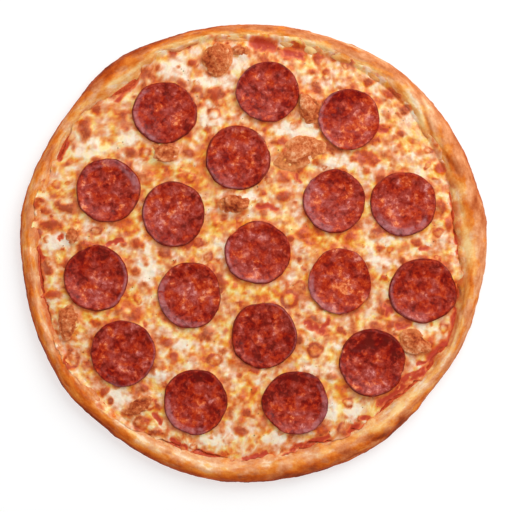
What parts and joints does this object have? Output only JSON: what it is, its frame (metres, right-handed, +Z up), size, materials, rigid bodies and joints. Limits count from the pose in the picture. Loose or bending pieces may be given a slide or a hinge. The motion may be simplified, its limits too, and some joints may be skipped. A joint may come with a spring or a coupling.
{
  "type": "pepperoni pizza",
  "caption": "Whole round uncut pizza with a raised browned crust, melted cheese over tomato sauce, cupped pepperoni slices and sausage crumbles; it lies flat.",
  "frame": {"origin": "middle of the pizza's flat underside, on the surface it lies on", "axes": "+Z up through the pizza, +X to the right and +Y to the top of the reference picture, which looks straight down"},
  "size_m": [0.308, 0.302, 0.0175],
  "materials": {
    "crust": "baked dough, golden brown and darker outside, matt",
    "sauce": "wet tomato sauce",
    "cheese": "melted cheese, cream to golden with toasted blisters, oily",
    "pepperoni": "cured sausage, deep red with paler flecks of fat, oily",
    "sausage": "browned crumbled sausage, craggy"
  },
  "bodies": {
    "root": {"crust": "crust", "tomato_sauce": "sauce", "cheese": "cheese", "pepperoni_01": "pepperoni", "pepperoni_02": "pepperoni", "pepperoni_03": "pepperoni", "pepperoni_04": "pepperoni", "pepperoni_05": "pepperoni", "pepperoni_06": "pepperoni", "pepperoni_07": "pepperoni", "pepperoni_08": "pepperoni", "pepperoni_09": "pepperoni", "pepperoni_10": "pepperoni", "pepperoni_11": "pepperoni", "pepperoni_12": "pepperoni", "pepperoni_13": "pepperoni", "pepperoni_14": "pepperoni", "pepperoni_15": "pepperoni", "pepperoni_16": "pepperoni", "pepperoni_17": "pepperoni", "pepperoni_18": "pepperoni", "sausage_01": "sausage", "sausage_02": "sausage", "sausage_03": "sausage", "sausage_04": "sausage", "sausage_05": "sausage", "sausage_06": "sausage", "sausage_07": "sausage", "sausage_08": "sausage", "sausage_09": "sausage", "sausage_10": "sausage"}
  },
  "joints": []
}
